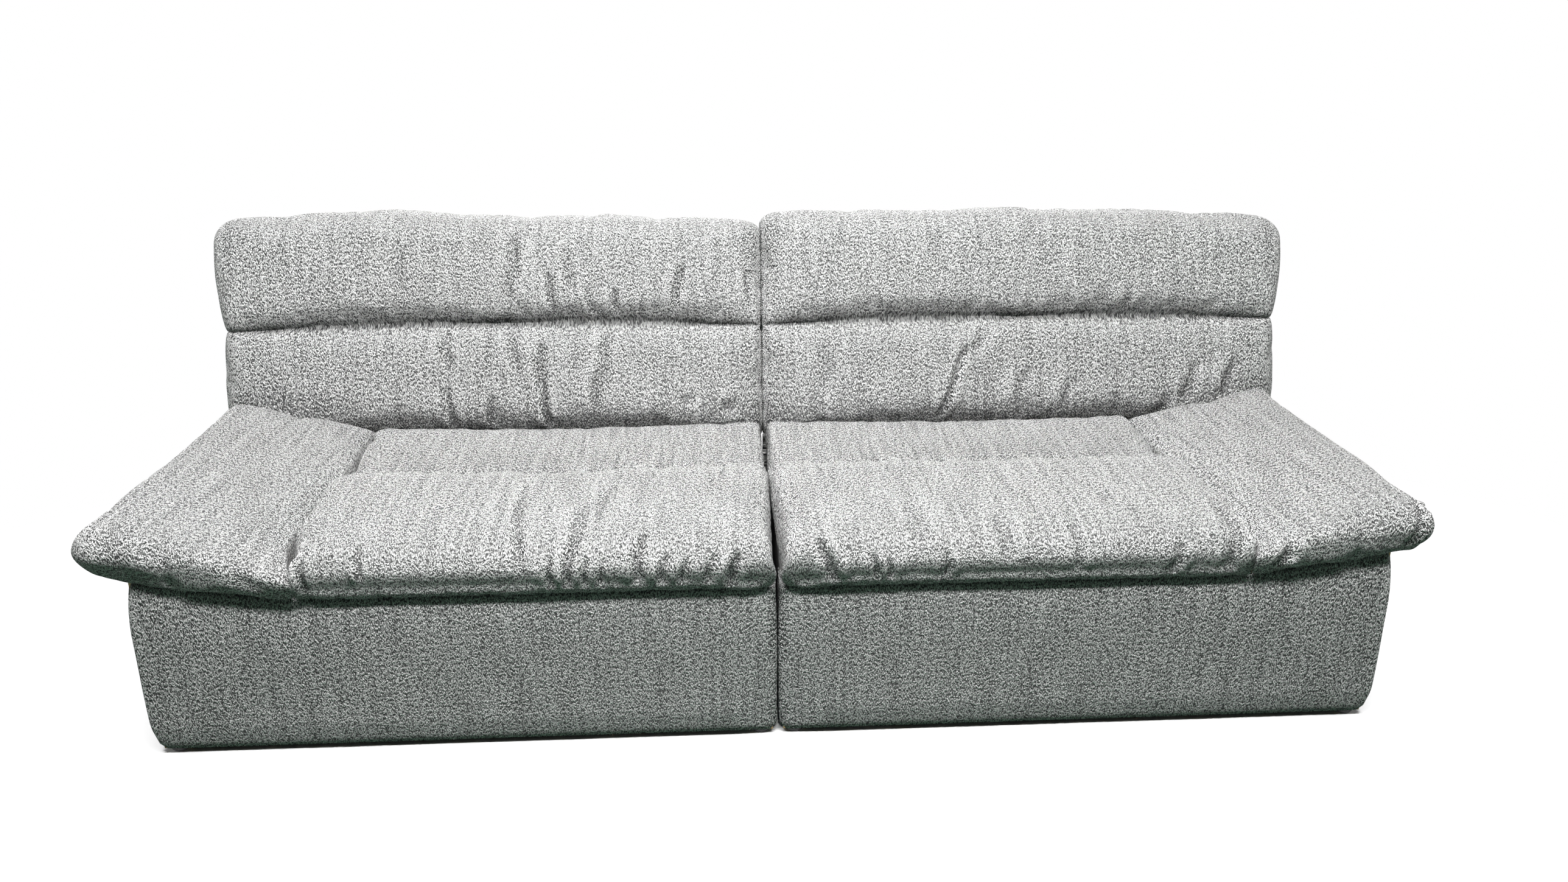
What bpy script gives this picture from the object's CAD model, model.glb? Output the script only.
import math

import bmesh
import bpy
import numpy as np
from mathutils import Matrix, Vector


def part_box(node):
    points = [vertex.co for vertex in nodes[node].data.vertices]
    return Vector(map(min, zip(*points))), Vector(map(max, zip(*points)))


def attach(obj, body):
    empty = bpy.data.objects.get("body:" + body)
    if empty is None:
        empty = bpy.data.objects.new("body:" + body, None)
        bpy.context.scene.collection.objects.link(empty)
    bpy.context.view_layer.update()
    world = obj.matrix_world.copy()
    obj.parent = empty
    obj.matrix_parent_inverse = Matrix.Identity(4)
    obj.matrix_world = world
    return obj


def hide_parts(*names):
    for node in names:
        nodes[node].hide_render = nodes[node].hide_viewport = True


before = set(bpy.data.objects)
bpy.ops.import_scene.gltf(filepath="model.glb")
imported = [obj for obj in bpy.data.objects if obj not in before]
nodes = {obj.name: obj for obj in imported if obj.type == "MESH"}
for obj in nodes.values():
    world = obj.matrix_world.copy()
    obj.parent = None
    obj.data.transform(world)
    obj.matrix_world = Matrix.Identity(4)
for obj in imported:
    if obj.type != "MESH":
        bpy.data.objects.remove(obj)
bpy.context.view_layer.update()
SIDES = ("left", "right")


# Base frame: a box of 18 mm plywood under each module, with a divider below the arm's inner edge and
# a sloped deck that carries the arm pad. Birch plies show as stripes where a panel is cut.
class Dye:
    """A socket of a finish. Sums and products of sockets add the Math nodes they stand for."""

    def __init__(self, tree, socket=None):
        self.tree, self.socket = tree, socket

    def node(self, kind, setup=None, sockets=None, out=0):
        """Adds a node: first its settings or a ramp's stops, then the values or links of its sockets."""
        made = self.tree.nodes.new("ShaderNode" + kind)
        for key, value in (setup or {}).items():
            if key == "stops":
                for stop in value[2:]:
                    made.color_ramp.elements.new(stop[0])
                for element, (at, shade) in zip(made.color_ramp.elements, value):
                    element.position, element.color = at, (*shade, 1)
            else:
                setattr(made, key, value)
        for key, value in (sockets or {}).items():
            if isinstance(value, Dye):
                self.tree.links.new(value.socket, made.inputs[key])
            else:
                made.inputs[key].default_value = value
        return Dye(self.tree, made.outputs[out] if len(made.outputs) else None)

    def maths(self, operation, *values):
        return self.node("Math", {"operation": operation}, dict(enumerate(values)))

    def __add__(self, other):
        return self.maths("ADD", self, other)

    def __sub__(self, other):
        return self.maths("SUBTRACT", self, other)

    def __rsub__(self, other):
        return self.maths("SUBTRACT", other, self)

    def __mul__(self, other):
        return self.maths("MULTIPLY", self, other)

    __radd__, __rmul__ = __add__, __mul__


def finish(name):
    made = bpy.data.materials.new(name)
    made.use_nodes = True
    made.node_tree.nodes.clear()
    return made, Dye(made.node_tree)


def coat(dye, colour, height, depth, **constants):
    """The closing nodes of a finish: its colour, its relief and what is the same all over it."""
    sockets = {"Base Color": colour, **{k.replace("_", " "): v for k, v in constants.items()}}
    sockets["Normal"] = dye.node("Bump", {}, {"Height": height, "Distance": depth, "Strength": 1.0})
    dye.node("OutputMaterial", {}, {"Surface": dye.node("BsdfPrincipled", {}, sockets)})


def wear(node_name, material):
    for slot in nodes[node_name].material_slots:
        slot.material = material


def plywood(name, grain_turn, ply_axis):
    made, dye = finish(name)
    place = dye.node("TexCoord", out="Object")
    lying = dye.node("Mapping", {}, {"Vector": place, "Rotation": grain_turn, "Scale": (2.0, 34.0, 34.0)})
    grain = dye.node("TexNoise", {}, {"Vector": lying, "Scale": 2.4, "Detail": 6.0, "Distortion": 0.6})
    figure = dye.node("TexNoise", {}, {"Vector": lying, "Scale": 0.35, "Detail": 2.0})
    along = dye.node("SeparateXYZ", {}, {0: place}, out=ply_axis)
    plies = dye.maths("PINGPONG", along, 0.0014) * 700.0
    tone = grain * 0.55 + figure * 0.3 + plies * 0.22
    colour = dye.node("ValToRGB", {"stops": [(0.25, (0.36, 0.22, 0.10)), (0.8, (0.66, 0.49, 0.29))]}, {0: tone})
    coat(dye, colour, grain, 0.0004, Roughness=0.62)
    return made


ply_upright_across = plywood("birch_ply_across", (0, 0, 0), 1)
ply_upright_along = plywood("birch_ply_along", (0, 0, math.pi / 2), 0)
ply_lying = plywood("birch_ply_lying", (0, 0, math.pi / 2), 2)
for side in SIDES:
    wear(f"front_panel_{side}", ply_upright_across)
    wear(f"rear_panel_{side}", ply_upright_across)
    for panel in ("inner_side_panel", "outer_side_panel", "arm_divider"):
        wear(f"{panel}_{side}", ply_upright_along)
    wear(f"arm_deck_{side}", ply_lying)

# Seat springs: sinuous wire of tempered steel, oiled and slightly blued, held in clips on the panels
# and joined by tie wires.
spring_steel, dye = finish("oiled_spring_steel")
place = dye.node("TexCoord", out="Object")
bluing = dye.node("TexNoise", {}, {"Vector": place, "Scale": 22.0, "Detail": 4.0})
draw_lines = dye.node("TexNoise", {}, {"Vector": place, "Scale": 600.0, "Detail": 1.0})
coat(dye, dye.node("ValToRGB", {"stops": [(0.35, (0.17, 0.18, 0.20)), (0.7, (0.36, 0.36, 0.36))]}, {0: bluing}),
     draw_lines, 0.0001, Metallic=1.0, Roughness=bluing * 0.25 + 0.25)
for side in SIDES:
    wear(f"spring_unit_{side}", spring_steel)

# Dust cloth and glides: black spun-bonded cloth stapled under the frame, dimpled all over, and low
# moulded feet of black plastic nailed under the corners.
dust_cloth, dye = finish("spun_bonded_cloth")
place = dye.node("TexCoord", out="Object")
dimples = dye.node("TexVoronoi", {}, {"Vector": place, "Scale": 420.0, "Randomness": 0.25})
fibres = dye.node("TexNoise", {}, {"Vector": place, "Scale": 900.0, "Detail": 3.0})
coat(dye, dye.node("ValToRGB", {"stops": [(0.2, (0.010, 0.010, 0.011)), (0.8, (0.035, 0.035, 0.037))]}, {0: fibres}),
     dimples * 0.7 + fibres * 0.3, 0.0003, Roughness=0.95)
moulded, dye = finish("black_moulded_plastic")
place = dye.node("TexCoord", out="Object")
pitting = dye.node("TexNoise", {}, {"Vector": place, "Scale": 1400.0, "Detail": 2.0})
scuffs = dye.node("TexNoise", {}, {"Vector": place, "Scale": 60.0, "Detail": 5.0})
coat(dye, dye.node("ValToRGB", {"stops": [(0.45, (0.012, 0.012, 0.013)), (0.75, (0.05, 0.05, 0.05))]}, {0: scuffs}),
     pitting, 0.00012, Roughness=scuffs * 0.3 + 0.4)
for side in SIDES:
    wear(f"dust_cover_{side}", dust_cloth)
    for spot in ("front_inner", "front_outer", "rear_inner", "rear_outer"):
        wear(f"glide_{spot}_{side}", moulded)

# Steel fittings: bright zinc-plated pockets for the backs, the tongues that drop into them, and the
# hooks between the two modules.
zinc, dye = finish("bright_zinc_plate")
place = dye.node("TexCoord", out="Object")
spangle = dye.node("TexVoronoi", {}, {"Vector": place, "Scale": 160.0}, out="Color")
spangle = dye.node("SeparateColor", {}, {0: spangle})
drawn_out = dye.node("Mapping", {}, {"Vector": place, "Scale": (40.0, 900.0, 900.0)})
rolling = dye.node("TexNoise", {}, {"Vector": drawn_out, "Scale": 1.0, "Detail": 3.0})
coat(dye, dye.node("ValToRGB", {"stops": [(0.1, (0.50, 0.52, 0.53)), (0.9, (0.68, 0.69, 0.68))]}, {0: spangle}),
     rolling, 0.00006, Metallic=1.0, Roughness=rolling * 0.2 + spangle * 0.12 + 0.2)
for side in SIDES:
    for fitting in ("back_socket_inner", "back_socket_outer", "back_tongue_inner", "back_tongue_outer",
                    "module_hook_front", "module_hook_rear"):
        wear(f"{fitting}_{side}", zinc)

# Chenille covers of the base: cloth on thin foam, wrapped round the box from one inner corner over the
# front, the outer side and the rear to the other inner corner, and stapled under the bottom edge.
chenille, dye = finish("grey_chenille")
cloth = dye.node("UVMap", {"uv_map": "weave"})


def drawn(vector, scale, turn=0.0, detail=1.0, out=0):
    """Cloudy noise on the cloth, drawn out or turned by the scale and the turn of its map."""
    laid = dye.node("Mapping", {}, {"Vector": vector, "Rotation": (0, 0, turn), "Scale": (*scale, 1.0)})
    return dye.node("TexNoise", {"noise_dimensions": "2D"}, {"Vector": laid, "Scale": 1.0, "Detail": detail}, out=out)


drift = drawn(cloth, (70.0, 70.0), out="Color")
wavy = dye.node("VectorMath", {"operation": "MULTIPLY_ADD"}, {0: drift, 1: (0.008, 0.008, 0.0), 2: cloth})
tufts = dye.node("MapRange", {}, {0: drawn(wavy, (178.0, 208.0), 0.0, 3.0), 1: 0.40, 2: 0.55})
lean = dye.node("MapRange", {}, {0: drawn(cloth, (42.0, 7.0)), 1: 0.46, 2: 0.54})
strand = drawn(cloth, (560.0, 190.0), 0.6) * lean + drawn(cloth, (560.0, 190.0), -0.5) * (1.0 - lean)
streak = drawn(cloth, (90.0, 5.0), 0.0, 3.0)
height_on_cloth = dye.node("SeparateXYZ", {}, {0: cloth}, out=1)
rows = dye.maths("SINE", height_on_cloth * 400.0 + drawn(cloth, (42.0, 22.0), 0.0, 2.0) * 11.0)
crushed = dye.node("Attribute", {"attribute_name": "crushed"}, out="Fac")
pile = tufts * 0.8 + (strand - 0.5) * 4.0 + rows * 0.08
shade = (tufts * 0.74 + (strand - 0.5) * 4.2 + 0.06 + (streak - 0.5) * 0.7 + (lean - 0.5) * 0.08
         + rows * 0.09 - crushed * 0.26)
colour = dye.node("ValToRGB", {"stops": [(0.08, (0.012, 0.012, 0.012)), (0.32, (0.16, 0.16, 0.158)),
                                         (0.54, (0.72, 0.716, 0.71)), (0.80, (0.985, 0.98, 0.97))]}, {0: shade})
coat(dye, colour, pile, 0.0170, Roughness=0.95, Sheen_Weight=0.20, Sheen_Roughness=0.5, Specular_IOR_Level=0.2)


def put(name, bm, material, body, slot, *stood_for):
    """Makes the mesh a piece on its body, in the record's slot, in place of the nodes it stands for."""
    mesh = bpy.data.meshes.new(name)
    bm.to_mesh(mesh)
    bm.free()
    mesh.materials.append(material)
    mesh.polygons.foreach_set("use_smooth", [True] * len(mesh.polygons))
    piece = bpy.data.objects.new(name, mesh)
    bpy.context.scene.collection.objects.link(piece)
    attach(piece, body)
    if stood_for:
        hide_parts(*stood_for)
    return piece


def edges_along(bm, axis):
    """The edges whose two ends differ along an axis."""
    return [e for e in bm.edges if abs((e.verts[0].co - e.verts[1].co)[axis]) > 1e-5]


CLEARANCE = 0.0003  # between pieces that rest on each other
DECK_FOOT = 0.3303  # height of the arm deck's upper face at its inner edge


def base_cover(side):
    """One wrap round the box: a four-sided sleeve with rounded upright corners, opened at the inner side."""
    lo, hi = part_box(f"front_cover_{side}")[0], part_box(f"rear_cover_{side}")[1]
    sign = 1 if side == "right" else -1
    inner, outer = sorted((abs(lo.x), abs(hi.x)))
    front, rear = lo.y, hi.y
    corner, foam, turn_in, bottom = 0.020, 0.008, 0.085, 0.012
    lip = 0.034  # how far the top edge is turned in over the front panel
    swell = 0.0105  # how far the cloth stands out, away from its edges
    lower_reach, upper_reach = 0.014, 0.125  # how far from its edges the cloth is drawn in
    bm = bmesh.new()
    bmesh.ops.create_cube(bm, size=1)
    bmesh.ops.delete(bm, geom=[f for f in bm.faces if abs(f.normal.z) > 0.5], context="FACES_ONLY")
    bmesh.ops.scale(bm, vec=(outer - inner, rear - front, 1), verts=bm.verts)
    bmesh.ops.translate(bm, vec=((inner + outer) / 2, (front + rear) / 2, 0.5), verts=bm.verts)
    bmesh.ops.bevel(bm, geom=edges_along(bm, 2), offset=corner, segments=6, profile=0.5, affect="EDGES", material=-1)
    for axis, length in ((0, outer - inner), (1, rear - front)):
        flat = [e for e in edges_along(bm, axis) if e.calc_length() > 0.5]
        bmesh.ops.subdivide_edges(bm, edges=flat, cuts=round(length / 0.014), use_grid_fill=True)
    bmesh.ops.subdivide_edges(bm, edges=edges_along(bm, 2), cuts=24, use_grid_fill=True)
    bmesh.ops.delete(bm, geom=[f for f in bm.faces if f.calc_center_median().x < inner + 0.001
                               and front + turn_in < f.calc_center_median().y < rear - turn_in], context="FACES")
    weave = bm.loops.layers.uv.new("weave")
    deck_lo, deck_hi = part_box(f"arm_deck_{side}")
    deck_in = min(abs(deck_lo.x), abs(deck_hi.x))
    seat_line, side_top = 0.3301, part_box(f"outer_side_cover_{side}")[1].z
    slope = (side_top - CLEARANCE - DECK_FOOT) / (outer - foam - deck_in)  # that of the arm deck
    deck_end, rear_top = deck_hi.y, hi.z
    for f in bm.faces:
        for loop in f.loops:
            x, y, z = loop.vert.co
            run = x if abs(f.normal.y) > 0.5 else y if abs(f.normal.x) > 0.5 else x + y
            loop[weave].uv = (run + 3 * (f.normal.x > 0.5) + 6 * (f.normal.y > 0.5), z * 0.33)
    at_top = {}
    for v in bm.verts:
        x, y, share = v.co
        top = seat_line + max(0.0, x - deck_in) * slope if y < deck_end else rear_top
        if y > rear - corner - 0.001:
            top = rear_top
        top = min(top, side_top)
        v.co.z = bottom + share * (top - bottom)
        at_top[v] = top
    bm.normal_update()
    out = {v: v.normal.copy() for v in bm.verts}
    for v in bm.verts:
        x, y, z = v.co
        rise = min(1.0, (z - bottom) / 0.05)
        off_end = min(1.0, max(0.0, x - inner - 0.004) / 0.10)
        full = swell * off_end
        slack = 0.0008 * math.sin(x * 17.0 + z * 9.0 + y * 13.0) + 0.0006 * math.sin(x * 41.0 - z * 23.0 + y * 29.0)
        low = max(0.0, 1 - (z - bottom) / lower_reach)
        tuck = 0.0065 * (1 - math.sqrt(1 - low * low))
        high = max(0.0, 1 - (at_top[v] - z) / upper_reach)
        v.co += out[v] * ((full + slack) * rise - tuck - (0.0012 + 0.0058 * off_end + full) * high * high)
    rim = [e for e in bm.edges if e.is_boundary and all(at_top[v] - v.co.z < 0.0005 and v.co.x < deck_in - 0.01
                                                        and v.co.y < front + turn_in + 0.01 for v in e.verts)]
    fresh = {g for g in bmesh.ops.extrude_edge_only(bm, edges=rim)["geom"] if isinstance(g, bmesh.types.BMVert)}
    for v in fresh:
        v.co.x, v.co.y = max(v.co.x, inner + lip), max(v.co.y, front + lip)
        for f in v.link_faces:
            for loop in f.loops:
                loop[weave].uv = (loop.vert.co.x + loop.vert.co.y, 0.33 + lip * (loop.vert in fresh))
    bmesh.ops.remove_doubles(bm, verts=list(fresh), dist=0.0001)
    bmesh.ops.solidify(bm, geom=bm.faces, thickness=foam)
    if sign < 0:
        bmesh.ops.scale(bm, vec=(-1, 1, 1), verts=bm.verts)
        bmesh.ops.reverse_faces(bm, faces=bm.faces)
    bmesh.ops.recalc_face_normals(bm, faces=bm.faces)
    return put(f"base_cover_{side}", bm, chenille, f"{side}_base", "chenille",
               f"front_cover_{side}", f"outer_side_cover_{side}", f"rear_cover_{side}")


for side in SIDES:
    base_cover(side)


# Seat pads: foam and fibre in a chenille case with one sewn cross channel. The front compartment is a
# fat roll that hangs over the base's edge, gathered along its lower seam; the case lies on the springs.
PITCH = 0.0088  # of the grid that the cases are blown up on


def loaf(half, seam=None):
    """A closed block with an even grid, one row of it on the seam: its mesh, places and run of the cloth."""
    bm = bmesh.new()
    bmesh.ops.create_cube(bm, size=2)
    for axis in range(3):
        cuts = max(2, round(2 * half[axis] / PITCH)) - 1
        bmesh.ops.subdivide_edges(bm, edges=edges_along(bm, axis), cuts=cuts, use_grid_fill=True)
    bmesh.ops.scale(bm, vec=half, verts=bm.verts)
    hx, hy, hz = half
    if seam is not None:
        row = min((v.co.y for v in bm.verts), key=lambda y: abs(y - seam))
        for v in bm.verts:
            y = v.co.y
            y = -hy + (y + hy) * (seam + hy) / (row + hy) if y <= row else hy - (hy - y) * (hy - seam) / (hy - row)
            off = y - seam
            v.co.y = seam + off * min(1.0, max(abs(off), 1e-9) / 0.06) ** 0.6
    weave = bm.loops.layers.uv.new("weave")

    def run(x, y, z, across, up):
        if across > 0.5:
            return y, z + 4
        if up > 0.5:
            return x, y + hy
        if up < -0.5:
            return x, -2 * hz - (y + hy)
        return (x, z - hz) if y < 0 else (x, 2 * hy + hz - z)

    bm.normal_update()
    for f in bm.faces:
        for loop in f.loops:
            loop[weave].uv = run(*loop.vert.co, abs(f.normal.x), f.normal.z)
    grid = np.array([v.co for v in bm.verts])
    x, y, z = grid.T
    ends = np.where(y < 0, z - hz, 2 * hy + hz - z)
    length = np.where(z > hz - 1e-6, y + hy, np.where(z < -hz + 1e-6, -2 * hz - (y + hy), ends))
    return bm, grid, np.stack([x + hx, length], 1)


def rounded(grid, half, plan, top, bottom):
    """Rounds a block's upright corners to the plan radius and its edges to the top and bottom radii."""
    hx, hy, hz = half
    flat = grid[:, :2]
    reach = np.array([hx, hy]) - np.reshape(plan, (-1, 1))
    core = np.clip(flat, -reach, reach)
    out = flat - core
    inset = np.minimum(hx - abs(flat[:, 0]), hy - abs(flat[:, 1]))
    radius = np.where(grid[:, 2] > 0, top, bottom)
    sideways = np.maximum(radius - inset, 0)
    upwards = np.maximum(abs(grid[:, 2]) - hz + radius, 0)
    fillet = (sideways > 0) & (upwards > 0)
    scale = np.where(fillet, radius / np.maximum(np.hypot(sideways, upwards), 1e-9), 1.0)
    length = np.abs(out).max(1) - sideways * (1 - scale)
    size = np.maximum(np.hypot(out[:, 0], out[:, 1]), 1e-9)
    z = np.where(fillet, np.sign(grid[:, 2]) * (hz - radius + upwards * scale), grid[:, 2])
    return np.column_stack([core + out / size[:, None] * length[:, None], z])


def rounded_ends(grid, half, inner, outer):
    """The end at the sofa's middle and the outer end have their own radii: (plan, top, bottom) each."""
    return np.where(grid[:, :1] < 0, rounded(grid, half, *inner), rounded(grid, half, *outer))


def tuck(distance, radius):
    """Depth of a tight sewn seam between two rolls: a quarter round on each side of it."""
    return 1 - np.sqrt(1 - np.clip(1 - abs(distance) / radius, 0, 1) ** 2)


def bell(distance, width):
    """A soft bump of the given width round the place where the distance is 0."""
    return np.exp(-((distance / width) ** 2))


def smooth(x, low, high):
    """A soft step from 0 at low to 1 at high."""
    t = np.clip((x - low) / (high - low), 0, 1)
    return t * t * (3 - 2 * t)


def creases(run, lines):
    """Depth of the folds at each point of the cloth: grooves between soft ridges, fading at both ends."""
    depth = np.zeros(len(run))
    for u0, v0, u1, v1, width, deep in lines:
        width, deep = 1.5 * width, 1.7 * deep  # fitted to the folds' shadows
        a, b = np.array([u0, v0]), np.array([u1, v1])
        along = (b - a) / np.linalg.norm(b - a)
        t = (run - a) @ along / np.linalg.norm(b - a)
        aside = (run - a) @ np.array([-along[1], along[0]]) + 0.18 * width * np.sin(t * 9.0)
        fade = np.clip(1 - (2 * t - 1) ** 4, 0, 1) * (abs(2 * t - 1) < 1)
        ridges = 0.60 * bell(aside - 2.0 * width, 1.3 * width), 0.25 * bell(aside + 2.2 * width, 1.5 * width)
        depth += fade * deep * (bell(aside, width) - ridges[0] - ridges[1])
    return depth


def set_places(bm, places):
    for v, place in zip(bm.verts, places):
        v.co = place


def stuff(piece, sewn, growth, pressure, cap):
    """Blows the case up round its sewn points and keeps each point within the cap."""
    mesh = piece.data
    start = np.array([v.co for v in mesh.vertices])
    group = piece.vertex_groups.new(name="sewn")
    for index in np.nonzero(sewn > 0.01)[0]:
        group.add([int(index)], float(min(sewn[index], 1.0)), "REPLACE")
    case = piece.modifiers.new("case", "CLOTH")
    case.settings.quality = 4
    case.settings.mass = 0.25
    case.settings.tension_stiffness = case.settings.compression_stiffness = 12
    case.settings.shear_stiffness = 6
    case.settings.bending_stiffness = 2
    case.settings.use_pressure = True
    case.settings.uniform_pressure_force = pressure
    case.settings.shrink_min = -growth
    case.settings.vertex_group_mass = "sewn"
    case.settings.effector_weights.gravity = 0
    case.collision_settings.use_collision = False
    for step in range(1, 21):
        bpy.context.scene.frame_set(step)
    blown = piece.evaluated_get(bpy.context.evaluated_depsgraph_get()).data
    end = np.array([v.co for v in blown.vertices])
    moved = end - start
    size = np.linalg.norm(moved, axis=1)
    moved *= (cap * np.tanh(size / cap) / np.maximum(size, 1e-9))[:, None]
    piece.modifiers.remove(case)
    piece.vertex_groups.clear()
    mesh.vertices.foreach_set("co", (start + moved).ravel().astype(np.float32))
    mesh.update()
    bpy.context.scene.frame_set(1)


def finer(piece):
    """One subdivision of the finished case, kept in its mesh."""
    step = piece.modifiers.new("finer", "SUBSURF")
    step.levels = step.render_levels = 1
    mesh = bpy.data.meshes.new_from_object(piece.evaluated_get(bpy.context.evaluated_depsgraph_get()))
    piece.modifiers.clear()
    piece.data = mesh


def press_folds(piece, half_width, lines, gathers, contact, crest=None):
    """Presses the folds into the finished case; the pile is crushed in them, at the contact with the next
    piece and behind the crest of a channel."""
    mesh = piece.data
    loops, points = len(mesh.loops), len(mesh.vertices)
    of_loop, uv, run = np.zeros(loops, int), np.zeros(2 * loops), np.zeros((points, 2))
    mesh.loops.foreach_get("vertex_index", of_loop)
    mesh.uv_layers["weave"].data.foreach_get("uv", uv)
    run[of_loop] = uv.reshape(-1, 2) + (half_width, 0)
    depth = creases(run, lines) * (run[:, 1] < 3.0)
    u, v = run.T
    for start, stop, low, high, deep in gathers:
        pleats = np.sin(u * 211.0 + 2.2 * np.sin(u * 37.0))
        pleats = pleats + 0.6 * np.sin(u * 97.0 + 1.7 * np.sin(u * 53.0) + v * 30.0)
        reach = smooth(u, start, start + 0.05) * (1 - smooth(u, stop - 0.05, stop))
        reach = reach * smooth(v, low - 0.02, low) * (1 - smooth(v, low, high))
        depth += deep * reach * np.maximum(pleats, -0.4)
    co = np.array([v.co for v in mesh.vertices]) - np.array([v.normal for v in mesh.vertices]) * depth[:, None]
    mesh.vertices.foreach_set("co", co.ravel().astype(np.float32))
    pile = mesh.attributes.new("crushed", "FLOAT", "POINT")
    crushed = np.clip(depth / 0.006, -0.7, 1) + 1.2 * contact(u, v)
    if crest is not None:
        behind = smooth(v, crest, crest + 0.01) * (1 - smooth(v, crest + 0.05, crest + 0.26))
        crushed = crushed + (0.42 * behind - 0.50 * bell(v - crest + 0.030, 0.022)) * (v < 1.2)
    pile.data.foreach_set("value", crushed.astype(np.float32))
    mesh.update()


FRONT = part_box("front_cover_right")[0].y
CHANNEL = 0.392  # the seat's channel, from the front of the base
JOINT = 0.9216  # where seat and arm pad meet, from the plane between the modules
NOSE = 0.075  # how far back the rounded front of seat and arm pad reaches
SEAM_RUN = {  # distances from the base's front, and how far the joint of seat and arm pad strays outwards there
    "left": ((-0.06, -0.03, 0.04, 0.11, 0.18, 0.30, 0.44, 0.60, 0.75),
             (-0.050, -0.038, -0.014, 0.006, 0.014, 0.013, 0.000, 0.010, 0.012)),
    "right": ((-0.06, -0.03, 0.02, 0.12, 0.24, 0.435, 0.66, 0.75),
              (-0.036, -0.018, -0.003, 0.006, 0.003, -0.016, -0.018, -0.018)),
}


def rear_edge(u, v):
    """Where a pad's rear edge is pressed against the back."""
    return smooth(v, 0.742, 0.764) * (v < 1.2)


def stray(side, y):
    """How far the joint between seat and arm pad strays outwards at y."""
    return np.interp(y - FRONT, *SEAM_RUN[side])


def keep_inside(piece, sign, x0, x1, y0, y1, z0):
    """A case that meets its neighbour lies flat against it."""
    co = np.array([v.co for v in piece.data.vertices])
    x0, x1 = (limit(co[:, 1]) if callable(limit) else limit for limit in (x0, x1))
    co[:, 0] = np.clip(co[:, 0] * sign, x0, x1) * sign
    co[:, 1] = np.clip(co[:, 1], y0, y1)
    co[:, 2] = np.maximum(co[:, 2], z0)
    piece.data.vertices.foreach_set("co", co.ravel().astype(np.float32))
    piece.data.update()


def seat_pad(side, bow, lines, gathers):
    """One pad, whose channel bows back by the given amount at its middle."""
    lo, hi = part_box(f"seat_cushion_{side}")
    sign = 1 if side == "right" else -1
    inner, outer = sorted((abs(lo.x), abs(hi.x)))
    half = ((outer - inner) / 2, (hi.y - lo.y) / 2, 0.036)
    hx, hy, hz = half
    middle_y = (lo.y + hi.y) / 2
    seam_at = FRONT + CHANNEL - middle_y
    bm, grid, run = loaf(half, seam_at)
    front = grid[:, 1] < seam_at
    nosing = smooth(-grid[:, 1], hy - NOSE, hy - 0.030)
    at_middle = (np.where(front, 0.014, 0.005), np.where(front, 0.022, 0.014) + 0.0139 * nosing, 0.026)
    at_arm = (0.014, np.where(front, 0.018, 0.009) + 0.0179 * nosing, 0.012)
    x, y, z = rounded_ends(grid, half, at_middle, at_arm).T
    away = y - seam_at
    across = np.clip(1 - (x / hx) ** 2, 0, 1)
    fore = away < 0
    start, stop = np.where(fore, -hy, seam_at), np.where(fore, seam_at, hy)
    t = 2 * (y - start) / (stop - start) - 1
    along = np.sqrt(np.clip(1 - abs(t) ** np.where(t < 0, 2.2, 6.0), 0, 1))
    upper = smooth(z, -hz, hz)
    ends = np.minimum(1, np.where(fore, 2.6, 1.7) * np.sqrt(across))
    lift = np.where(fore, 0.042, 0.003) * along * ends + 0.015 * smooth(away, 0.04, 0.34)
    groove = 0.024 * tuck(away, np.where(fore, 0.024, 0.050)) * ends
    nose = np.clip((-hy + NOSE - y) / NOSE, 0, 1) ** 2
    y = y + bow * across * bell(away, 0.15)
    ear = 0.012 * bell(y + middle_y - FRONT + 0.050, 0.045)
    drawn_in = 0.004 * tuck(away, 0.05) * np.sign(x) * (x / hx) ** 4
    x = x + (stray(side, y + middle_y) + ear) * np.maximum(x / hx, 0) ** 4 - drawn_in
    pucker = np.sin(x * 71.0 + 1.9 * np.sin(x * 23.0)) * bell(away + 0.035, 0.03) * 0.0036
    heel = smooth(y, hy - 0.035, hy)
    z = z + (lift - groove + pucker - heel * (0.010 + 0.004 * np.sin(x * 83.0 + 2.0 * np.sin(x * 31.0)))) * upper
    sag = 0.010 * bell(x - hx + 0.012, 0.030) + 0.009 * bell(x + hx - 0.045, 0.045)
    sag = sag + 0.0016 * np.sin(x * 29.0 + 1.4 * np.sin(x * 13.0))
    z = z + (0.010 - sag) * nose * (1 - upper)
    y = y + 0.044 * np.clip((0.9 - z / hz) / 1.9, 0, 1) ** 1.4 * nose
    places = np.column_stack([x + (inner + outer) / 2, y + middle_y, z + lo.z + hz])
    places[:, 0] *= sign
    set_places(bm, places)
    if sign < 0:
        bmesh.ops.reverse_faces(bm, faces=bm.faces)
    rest = np.clip((-hz + 0.010 - z) / 0.006, 0, 1) * (y > -hy + 0.06)
    under = bell(run[:, 1] + 0.066, 0.006) * (abs(grid[:, 0]) < hx - 0.02)
    sewn = np.maximum(np.maximum(rest, under), (abs(away) < 0.001) * (z > 0))
    piece = put(f"seat_pad_{side}", bm, chenille, f"{side}_base", "chenille", f"seat_cushion_{side}")
    stuff(piece, sewn, growth=0.022, pressure=3.0, cap=0.010)
    finer(piece)
    at_channel = [(0.02, 0.90, 0.395, 0.640, 0.0018), (0.02, 0.90, 0.330, 0.380, 0.0012)]
    press_folds(piece, hx, lines, gathers + at_channel, rear_edge, CHANNEL)
    keep_inside(piece, sign, inner - 0.0009,
                lambda y: JOINT + stray(side, y) + 0.010 * bell(y - FRONT + 0.050, 0.045),
                lo.y - 0.006, hi.y + 0.001, lo.z)


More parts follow.
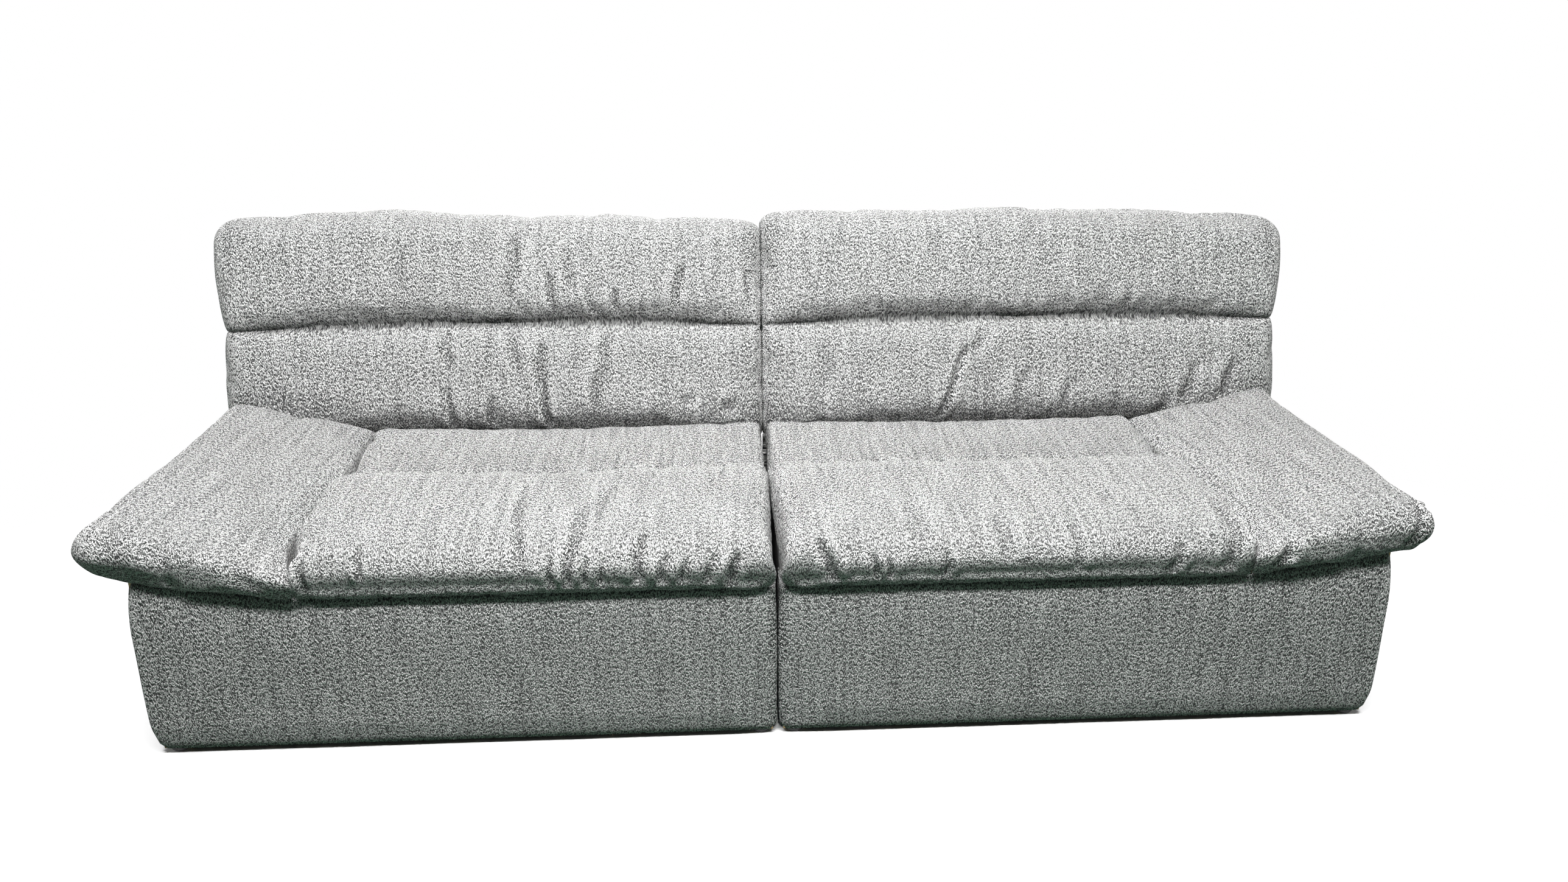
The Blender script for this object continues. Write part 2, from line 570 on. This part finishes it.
# Folds: from and to, across from the inner end and along from the front edge of the top, then width and
# depth. Gathers: from and to across, from and to along, then depth.
seat_pad("left", 0.000,
         [(0.503, 0.350, 0.474, -0.033, 0.0060, 0.0060), (0.535, 0.300, 0.512, 0.080, 0.0075, 0.0030),
          (0.772, 0.046, 0.767, -0.028, 0.0042, 0.0085), (0.367, 0.190, 0.378, 0.030, 0.0090, 0.0040),
          (0.325, 0.290, 0.342, 0.100, 0.0080, 0.0036), (0.640, 0.220, 0.648, 0.010, 0.0120, 0.0022),
          (0.417, 0.020, 0.421, -0.066, 0.0050, 0.0055), (0.379, 0.058, 0.391, -0.060, 0.0055, 0.0080),
          (0.352, 0.014, 0.360, -0.062, 0.0045, 0.0050), (0.322, 0.020, 0.330, -0.060, 0.0045, 0.0045),
          (0.249, 0.066, 0.263, -0.055, 0.0060, 0.0090), (0.207, 0.018, 0.219, -0.062, 0.0050, 0.0060),
          (0.170, 0.004, 0.182, -0.062, 0.0045, 0.0055), (0.118, 0.016, 0.134, -0.062, 0.0050, 0.0050),
          (0.074, 0.016, 0.094, -0.075, 0.0060, 0.0095), (0.885, 0.060, 0.893, -0.070, 0.0060, 0.0070)],
         [(0.05, 0.44, -0.075, 0.000, 0.0008), (0.52, 0.84, -0.075, -0.020, 0.0009),
          (0.85, 0.98, -0.075, 0.010, 0.0026)])
seat_pad("right", 0.020,
         [(0.072, 0.040, 0.108, -0.062, 0.0062, 0.0095), (0.176, 0.008, 0.186, -0.066, 0.0045, 0.0065),
          (0.205, -0.002, 0.208, -0.064, 0.0045, 0.0050), (0.314, 0.010, 0.316, -0.060, 0.0050, 0.0045),
          (0.424, 0.110, 0.430, -0.020, 0.0090, 0.0036), (0.258, 0.170, 0.270, 0.020, 0.0100, 0.0028),
          (0.560, 0.080, 0.566, -0.050, 0.0070, 0.0030), (0.760, 0.020, 0.752, -0.060, 0.0060, 0.0055),
          (0.860, 0.120, 0.872, -0.060, 0.0090, 0.0060), (0.640, 0.250, 0.652, 0.120, 0.0110, 0.0024)],
         [(0.10, 0.36, -0.075, -0.015, 0.0012), (0.60, 0.90, -0.075, -0.020, 0.0009)])


# Arm pads: a wedge of foam and fibre in its own case, thicker towards the outside, that lies on the
# sloped deck and hangs over the front and the outer side of the base.
def hump(x):
    """Half a circle, 1 high, from -1 to 1."""
    return np.sqrt(np.clip(1 - x * x, 0, 1))


def arm_pad(side, reach, droop, tilt, lines, gathers):
    """Its outer edge reaches out, its outer front corner droops, and the tip's underside tilts up."""
    lo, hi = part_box(f"arm_cushion_{side}")
    deck_lo, deck_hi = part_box(f"arm_deck_{side}")
    sign = 1 if side == "right" else -1
    inner, outer = sorted((abs(lo.x), abs(hi.x)))
    deck_in, deck_out = sorted((abs(deck_lo.x), abs(deck_hi.x)))
    thin, thick = 0.068, 0.104  # at the inner and the outer side
    half = ((outer - inner) / 2, (hi.y - lo.y) / 2, thin / 2)
    hx, hy, hz = half
    bm, grid, _ = loaf(half)
    x, y, z = rounded_ends(grid, half, (0.008, 0.007, 0.012), (0.050, 0.034, 0.034)).T
    out = x / hx
    upper = smooth(z, -hz, hz)
    thicker = (thick / thin - 1) * (out + 1) / 2
    middle_y = (lo.y + hi.y) / 2
    x = x - 0.007 * np.maximum(out, 0) ** 3 * (1 - (y / hy) ** 2)
    x = x + stray(side, y + middle_y) * np.maximum(-out, 0) ** 3
    nose = np.clip((-hy + NOSE - y) / NOSE, 0, 1) ** 2
    tip = np.clip((out - 0.55) / 0.45, 0, 1) ** 2
    sag = 0.006 * bell(x + hx, 0.040) + 0.0016 * np.sin(x * 31.0)
    z = (z + (z + hz) * thicker + 0.015 * hump(out) * np.minimum(1, 1.8 * hump(y / hy)) * upper
         + ((0.014 - sag) * nose + tilt * tip) * (1 - upper))
    ahead = FRONT + 0.40 - y - middle_y
    z = z - upper * np.maximum(-out, 0) ** 2 * 0.014 * smooth(ahead, 0, 0.12)
    z = z - upper * np.maximum(out, 0) ** 3 * droop * smooth(-y, hy - 0.28, hy)
    y = y + 0.038 * np.clip((0.9 - z / hz) / 1.9, 0, 1) ** 1.4 * nose
    slope = 0.042 / (deck_out - deck_in)
    x = x + (inner + outer) / 2 + reach * np.maximum(out, 0) ** 2
    deck = 0.3306 + slope * (x - deck_in)  # the arm deck's upper face and the clearance over it
    places = np.column_stack([x * sign, y + middle_y, z + deck + hz])
    set_places(bm, places)
    if sign < 0:
        bmesh.ops.reverse_faces(bm, faces=bm.faces)
    sewn = np.clip((-hz + 0.004 - z) / 0.003, 0, 1)
    piece = put(f"arm_pad_{side}", bm, chenille, f"{side}_base", "chenille", f"arm_cushion_{side}")
    stuff(piece, sewn, growth=0.02, pressure=3.0, cap=0.009)
    finer(piece)
    press_folds(piece, hx, lines, gathers, rear_edge)
    keep_inside(piece, sign, lambda y: JOINT + 0.001 + stray(side, y), outer + 0.014,
                lo.y - 0.006, hi.y + 0.001, 0.3304)


arm_pad("left", 0.012, 0.015, 0.006,
        [(0.250, 0.090, 0.262, -0.060, 0.0100, 0.0030), (0.060, 0.060, 0.052, -0.050, 0.0100, 0.0030)],
        [(0.08, 0.32, -0.075, -0.010, 0.0008), (-0.05, 0.07, -0.075, 0.000, 0.0022)])
arm_pad("right", -0.009, 0.025, -0.012,
        [(0.300, 0.060, 0.286, -0.075, 0.0060, 0.0080), (0.322, 0.040, 0.312, -0.075, 0.0050, 0.0060),
         (0.050, 0.020, 0.040, -0.060, 0.0060, 0.0060)],
        [(0.02, 0.32, -0.075, -0.010, 0.0010)])

# Back frame: planed pine rails and leaning posts, whose legs reach down into the base, with a sheet of
# brown hardboard pinned behind the cushion.
pine, dye = finish("planed_pine")
place = dye.node("TexCoord", out="Object")
lying = dye.node("Mapping", {}, {"Vector": place, "Scale": (3.0, 26.0, 26.0)})
rings = dye.node("TexWave", {"wave_type": "BANDS", "bands_direction": "Z"},
                 {"Vector": lying, "Scale": 0.9, "Distortion": 5.0, "Detail": 3.0})
fleck = dye.node("TexNoise", {}, {"Vector": lying, "Scale": 3.0, "Detail": 5.0})
coat(dye, dye.node("ValToRGB", {"stops": [(0.2, (0.70, 0.52, 0.30)), (0.95, (0.47, 0.29, 0.12))]},
                   {0: rings * 0.7 + fleck * 0.3}),
     rings * 0.5 + fleck * 0.5, 0.0004, Roughness=0.6)
hardboard, dye = finish("brown_hardboard")
place = dye.node("TexCoord", out="Object")
pressed = dye.node("TexNoise", {}, {"Vector": place, "Scale": 260.0, "Detail": 6.0})
cloudy = dye.node("TexNoise", {}, {"Vector": place, "Scale": 9.0, "Detail": 3.0})
coat(dye, dye.node("ValToRGB", {"stops": [(0.3, (0.16, 0.09, 0.045)), (0.75, (0.34, 0.21, 0.11))]},
                   {0: pressed * 0.6 + cloudy * 0.4}),
     pressed, 0.0003, Roughness=0.75)
for side in SIDES:
    wear(f"back_board_{side}", hardboard)
    for part in ("back_post_inner", "back_post_outer", "back_top_rail", "back_bottom_rail"):
        wear(f"{part}_{side}", pine)

# Back cushions: fibre in a chenille case with one sewn channel, pulled over the top and the ends of the
# back frame. The case stands on a level underside and leans with the frame.
FRAME_MIDDLE = 0.6491  # middle of the back frame, from the plane between the modules
RECLINE = math.radians(12)
FOOT_Y, FOOT_Z = 0.4118, 0.334  # lower end of the slope
# From across, up the slope and forwards off it to the sofa's own axes
LEAN = Matrix(((1, 0, 0, 0),
               (0, math.sin(RECLINE), -math.cos(RECLINE), FOOT_Y),
               (0, math.cos(RECLINE), math.sin(RECLINE), FOOT_Z),
               (0, 0, 0, 1)))


def back_pad(side, dips, lines, gathers):
    """One cushion; the dips are the places across its top edge, and how far it falls there."""
    lo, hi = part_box(f"back_cushion_{side}")
    sign = 1 if side == "right" else -1
    inner, outer = sorted((abs(lo.x), abs(hi.x)))
    half = ((outer - inner) / 2, 0.278, 0.080)
    hx, hy, hz = half
    seam_at = 0.292 - hy  # the channel, from the bottom edge along the slope
    bm, grid, _ = loaf(half, seam_at)
    foot = smooth(-grid[:, 1], hy - 0.12, hy - 0.02)
    corner = np.where(grid[:, 1] < 0, 0.004, 0.032)
    x, y, z = rounded_ends(grid, half, (corner, 0.022 + 0.012 * foot, 0.010),
                           (np.where(grid[:, 1] < 0, 0.024, 0.062), 0.046 + 0.012 * foot, 0.012)).T
    across = np.clip(1 - (x / hx) ** 2, 0, 1)
    away = y - seam_at
    lower = away < 0
    start, stop = np.where(lower, -hy, seam_at), np.where(lower, seam_at, hy)
    t = 2 * (y - start) / (stop - start) - 1
    along = np.sqrt(np.clip(1 - abs(t) ** np.where(lower == (t > 0), 6.0, 2.5), 0, 1))
    ends = np.minimum(1, 1.7 * np.sqrt(across))
    lift = np.where(lower, 0.017, 0.019) * along * ends
    groove = 0.019 * tuck(away, 0.016) * ends
    front = smooth(z, -hz, hz)
    side_swell = 0.006 * bell(away + 0.15, 0.10) + 0.010 * bell(away - 0.14, 0.10) - 0.010 * tuck(away, 0.07)
    x = x + np.sign(x) * abs(x / hx) ** 5 * side_swell * (x > 0)
    z = z + (lift - groove) * front
    toe_reach = 0.085  # how far up the rounded foot reaches
    toe = np.clip((-hy + toe_reach - grid[:, 1]) / toe_reach, 0, 1) ** 2
    z = z - 0.030 * toe * front
    y = y + 0.022 * toe * front
    y = y + 0.014 * (across - 1) * bell(away, hy / 2)
    y = y + 0.009 * (across - 1) * np.maximum(y / hy, 0) ** 3
    y = y - np.interp(x + hx, *dips) * smooth(y, 0, hy)
    y = y - (z + hz) * math.tan(RECLINE) * np.maximum(-y / hy, 0) ** 2
    places = np.column_stack([(x + (inner + outer) / 2) * sign, y + hy, z + hz])
    set_places(bm, places)
    if sign < 0:
        bmesh.ops.reverse_faces(bm, faces=bm.faces)
    bmesh.ops.transform(bm, matrix=LEAN, verts=bm.verts)
    sewn = np.maximum(np.clip((-hz + 0.05 - z) / 0.03, 0, 1), (abs(away) < 0.001) * (z > 0))
    sewn = np.maximum(sewn, 0.9 * (grid[:, 1] < -hy + 0.001) * (z < hz - 0.05))
    piece = put(f"back_pad_{side}", bm, chenille, f"{side}_back", "chenille", f"back_cushion_{side}")
    stuff(piece, sewn, growth=0.022, pressure=3.0, cap=0.012)
    finer(piece)
    on_pads = (0.90, 0.98, 1.22, 1.29), (0.085, 0.105, 0.135, 0.10)  # how high the pads reach up its front
    press_folds(piece, hx, lines, gathers, lambda u, v: 1 - smooth(v - np.interp(u, *on_pads), -0.01, 0.045))
    keep_inside(piece, sign, inner - 0.0009, outer + 0.012, -1, 1, lo.z)
    # The room for the frame and its rear cloth is cut out of the case from behind
    room, room_middle = (1.2424, 0.7223, 0.1052), (sign * FRAME_MIDDLE, 0.16115, 0.0026)
    hollow = bmesh.new()
    bmesh.ops.create_cube(hollow, size=1)
    bmesh.ops.scale(hollow, vec=room, verts=hollow.verts)
    bmesh.ops.translate(hollow, vec=room_middle, verts=hollow.verts)
    bmesh.ops.transform(hollow, matrix=LEAN, verts=hollow.verts)
    mesh = bpy.data.meshes.new("frame_hollow")
    hollow.to_mesh(mesh)
    hollow.free()
    mesh.materials.append(chenille)
    cutter = bpy.data.objects.new("frame_hollow", mesh)
    bpy.context.scene.collection.objects.link(cutter)
    cut = piece.modifiers.new("hollow", "BOOLEAN")
    cut.operation, cut.solver, cut.object = "DIFFERENCE", "MANIFOLD", cutter
    opened = bpy.data.meshes.new_from_object(piece.evaluated_get(bpy.context.evaluated_depsgraph_get()))
    piece.modifiers.clear()
    piece.data = opened
    bpy.data.objects.remove(cutter)


back_pad("left", ((0.0, 0.13, 0.25, 0.36, 0.56, 0.72, 0.88, 1.0, 1.14),
                  (0.022, 0.016, 0.012, 0.004, 0.011, 0.001, -0.014, -0.010, 0.0)),
         [(0.600, 0.345, 0.578, 0.520, 0.0100, 0.0060), (0.467, 0.480, 0.455, 0.365, 0.0070, 0.0045),
          (0.508, 0.420, 0.495, 0.305, 0.0060, 0.0050), (0.352, 0.375, 0.352, 0.303, 0.0060, 0.0050),
          (0.193, 0.440, 0.217, 0.303, 0.0065, 0.0075), (0.417, 0.380, 0.405, 0.303, 0.0060, 0.0035),
          (0.531, 0.245, 0.536, 0.140, 0.0080, 0.0065), (0.535, 0.160, 0.520, 0.045, 0.0060, 0.0095),
          (0.371, 0.285, 0.390, 0.160, 0.0080, 0.0055), (0.390, 0.180, 0.415, 0.095, 0.0100, 0.0045),
          (0.761, 0.285, 0.752, 0.175, 0.0090, 0.0050), (0.767, 0.150, 0.750, 0.050, 0.0075, 0.0050),
          (0.604, 0.285, 0.591, 0.170, 0.0080, 0.0040), (0.657, 0.130, 0.662, 0.050, 0.0070, 0.0040),
          (0.110, 0.090, 0.060, 0.105, 0.0080, 0.0045), (0.200, 0.108, 0.160, 0.122, 0.0070, 0.0035),
          (0.040, 0.430, 0.030, 0.340, 0.0060, 0.0050), (0.860, 0.480, 0.850, 0.360, 0.0140, 0.0025)],
         [(0.10, 0.80, 0.300, 0.350, 0.0010), (0.15, 0.90, 0.030, 0.090, 0.0012)])
back_pad("right", ((0.95, 1.10, 1.20, 1.29), (0.0, 0.010, 0.015, 0.018)),
         [(0.500, 0.225, 0.436, 0.050, 0.0055, 0.0085), (0.561, 0.280, 0.505, 0.190, 0.0090, 0.0040),
          (0.622, 0.080, 0.655, 0.175, 0.0090, 0.0040), (1.077, 0.180, 1.044, 0.085, 0.0080, 0.0055),
          (1.142, 0.105, 1.172, 0.190, 0.0080, 0.0055), (0.733, 0.060, 0.770, 0.155, 0.0090, 0.0035),
          (0.904, 0.370, 0.902, 0.304, 0.0080, 0.0024), (0.840, 0.370, 0.836, 0.303, 0.0100, 0.0018),
          (1.010, 0.110, 0.985, 0.040, 0.0080, 0.0040),
          (0.700, 0.480, 0.704, 0.400, 0.0140, 0.0025), (0.150, 0.270, 0.160, 0.120, 0.0140, 0.0025)],
         [(0.20, 1.20, 0.300, 0.345, 0.0008), (0.30, 1.10, 0.030, 0.080, 0.0009)])

# Rear of the back: a plain panel of the same chenille, slightly padded, slipped behind the frame and
# stapled inside the case's mouth.
panel_wide, panel_high = 1.2405, 0.5205
panel_middle = 0.2612  # up the slope
for side in SIDES:
    sign = 1 if side == "right" else -1
    bm = bmesh.new()
    bmesh.ops.create_grid(bm, x_segments=84, y_segments=36, size=0.5)
    bmesh.ops.scale(bm, vec=(panel_wide, panel_high, 1), verts=bm.verts)
    bmesh.ops.translate(bm, vec=(sign * FRAME_MIDDLE, panel_middle, 0.0035), verts=bm.verts)
    weave = bm.loops.layers.uv.new("weave")
    for f in bm.faces:
        for loop in f.loops:
            loop[weave].uv = (loop.vert.co.x, loop.vert.co.y + 6)
    for v in bm.verts:
        across, up = (abs(v.co.x) - FRAME_MIDDLE) / 0.6205, (v.co.y - panel_middle) / 0.2605
        v.co.z -= 0.0052 * min(1.0, 4 * (1 - abs(across))) ** 0.5 * min(1.0, 2.4 * (1 - abs(up))) ** 0.5
        v.co.z += 0.0007 * math.sin(v.co.x * 19.0 + v.co.y * 31.0) * math.cos(v.co.y * 23.0 - v.co.x * 7.0)
    bmesh.ops.reverse_faces(bm, faces=bm.faces)
    bmesh.ops.transform(bm, matrix=LEAN, verts=bm.verts)
    put(f"rear_panel_cloth_{side}", bm, chenille, f"{side}_back", "chenille", f"back_cover_{side}")

# Inner sides of the bases: grey lining cloth stapled over the plywood where the two modules meet and
# turned over the panel's top edge; the steel hooks are screwed on over it.
lining, dye = finish("grey_lining_cloth")
place = dye.node("TexCoord", out="Object")
along_y = dye.node("Mapping", {}, {"Vector": place, "Scale": (300.0, 1500.0, 300.0)})
along_z = dye.node("Mapping", {}, {"Vector": place, "Scale": (300.0, 300.0, 1500.0)})
threads = dye.node("TexNoise", {}, {"Vector": along_y, "Scale": 1.0, "Detail": 2.0})
picks = dye.node("TexNoise", {}, {"Vector": along_z, "Scale": 1.0, "Detail": 2.0})
plain_weave = threads * 0.5 + picks * 0.5
coat(dye, dye.node("ValToRGB", {"stops": [(0.35, (0.10, 0.10, 0.10)), (0.70, (0.22, 0.22, 0.215))]},
                   {0: plain_weave}),
     plain_weave, 0.0002, Roughness=0.9)
for side in SIDES:
    sign = 1 if side == "right" else -1
    lo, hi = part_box(f"inner_side_panel_{side}")
    face = min(abs(lo.x), abs(hi.x)) - 0.00015
    bm = bmesh.new()
    bmesh.ops.create_grid(bm, x_segments=10, y_segments=30, size=0.5)
    # From 3 mm above the panel's bottom edge to 0.2 mm above its top edge, and 0.80 m deep
    bmesh.ops.scale(bm, vec=(hi.z - lo.z - 0.0028, 0.80, 1), verts=bm.verts)
    bmesh.ops.rotate(bm, matrix=Matrix.Rotation(math.pi / 2, 3, "Y"), verts=bm.verts)
    bmesh.ops.translate(bm, vec=(sign * face, (lo.y + hi.y) / 2, (lo.z + hi.z) / 2 + 0.0016), verts=bm.verts)
    top_edge = [e for e in bm.edges if min(v.co.z for v in e.verts) > hi.z]
    extruded = bmesh.ops.extrude_edge_only(bm, edges=top_edge)["geom"]
    turned = [part for part in extruded if isinstance(part, bmesh.types.BMVert)]
    bmesh.ops.translate(bm, vec=(sign * 0.0182, 0, 0), verts=turned)
    bmesh.ops.recalc_face_normals(bm, faces=bm.faces)
    if sum(f.normal.x for f in bm.faces) * sign > 0:
        bmesh.ops.reverse_faces(bm, faces=bm.faces)
    put(f"inner_lining_{side}", bm, lining, f"{side}_base", "chenille")

# Studio: a pale floor and backdrop, a raised strip lamp in front, a wide one overhead, fills at the rear
# and the sides, and the camera where the photograph was taken from. The floor shows the object's shadow
# under and close to the bases, and is white further out.
def seen_rays(dye):
    """1 for the rays that show the backdrop as white: those from the eye, and through gloss and glass."""
    eye_ray, gloss_ray, glass_ray = (dye.node("LightPath", out=f"Is {kind} Ray")
                                     for kind in ("Camera", "Glossy", "Transmission"))
    return eye_ray + gloss_ray + glass_ray


floor_finish, dye = finish("pale_floor")
path = seen_rays(dye)
lit = dye.node("BsdfDiffuse", {}, {"Color": (0.06, 0.105, 0.076, 1)})  # what it throws back onto the object
white = dye.node("Emission", {}, {"Color": (1, 1, 1, 1), "Strength": 1.0})
where = dye.node("TexCoord", out="Object")
oval = dye.node("Mapping", {}, {"Vector": where, "Scale": (0.42, 0.75, 1.0)})
halo = dye.node("TexGradient", {"gradient_type": "SPHERICAL"}, {"Vector": oval})
halo = dye.node("MapRange", {}, {0: halo, 1: 0.0, 2: 0.4, 3: 0.0, 4: 0.30})
half_width, half_depth, middle_y = 1.200, 0.4425, -0.0305  # of the two bases together
beside = dye.maths("ABSOLUTE", dye.node("SeparateXYZ", {}, {0: where}, out=0)) - half_width
before = dye.maths("ABSOLUTE", dye.node("SeparateXYZ", {}, {0: where}, out=1) - middle_y) - half_depth
under = dye.node("MapRange", {}, {0: dye.maths("MAXIMUM", beside, before), 1: -0.004, 2: 0.012, 3: 1.0, 4: 0.0})
near = dye.maths("MAXIMUM", halo, under)
seen = dye.node("MixShader", {}, {0: near, 1: white, 2: dye.node("BsdfDiffuse", {}, {"Color": (0.8, 0.8, 0.8, 1)})})
dye.node("OutputMaterial", {}, {"Surface": dye.node("MixShader", {}, {0: path, 1: lit, 2: seen})})
bm = bmesh.new()
bmesh.ops.create_grid(bm, x_segments=2, y_segments=2, size=30)
mesh = bpy.data.meshes.new("floor")
bm.to_mesh(mesh)
bm.free()
mesh.materials.append(floor_finish)
floor = bpy.data.objects.new("floor", mesh)
bpy.context.scene.collection.objects.link(floor)


def lamp(name, place, aim, size, watts):
    light = bpy.data.lights.new(name, "AREA")
    light.shape, light.size, light.size_y, light.energy = "RECTANGLE", *size, watts
    holder = bpy.data.objects.new(name, light)
    bpy.context.scene.collection.objects.link(holder)
    holder.location = place
    holder.rotation_euler = (Vector(aim) - Vector(place)).to_track_quat("-Z", "Y").to_euler()


lamp("key", (0.0, -1.95, 2.85), (0.0, -0.2, 0.4), (2.2, 0.35), 184)
lamp("ceiling", (0.0, -0.45, 2.9), (0.0, 0.0, 0.5), (3.4, 0.8), 196)
lamp("rear_fill", (0.0, 4.0, 1.7), (0.0, 0.4, 0.45), (4.0, 1.0), 300)
lamp("left_fill", (-4.5, 0.3, 1.6), (-1.0, 0.0, 0.3), (1.0, 2.0), 40)
lamp("right_fill", (4.5, 0.3, 1.6), (1.0, 0.0, 0.3), (1.0, 2.0), 40)

world = bpy.data.worlds.new("studio")
bpy.context.scene.world = world
world.use_nodes = True
world.node_tree.nodes.clear()
dye = Dye(world.node_tree)
path = seen_rays(dye)
glow = dye.node("Background", {}, {"Color": (1, 1, 1, 1), "Strength": 0.035})
white = dye.node("Background", {}, {"Color": (1, 1, 1, 1), "Strength": 1.0})
dye.node("OutputWorld", {}, {"Surface": dye.node("MixShader", {}, {0: path, 1: glow, 2: white})})

eye = bpy.data.cameras.new("camera")
eye.lens, eye.sensor_width, eye.clip_end = 25.994, 36.0, 100.0
camera = bpy.data.objects.new("camera", eye)
bpy.context.scene.collection.objects.link(camera)
camera.location = (-0.0952, -2.3838, 1.3317)
camera.rotation_euler = (math.pi / 2 - 0.35339, 0, -0.05560)
bpy.context.scene.camera = camera
bpy.context.scene.view_settings.view_transform = "Standard"
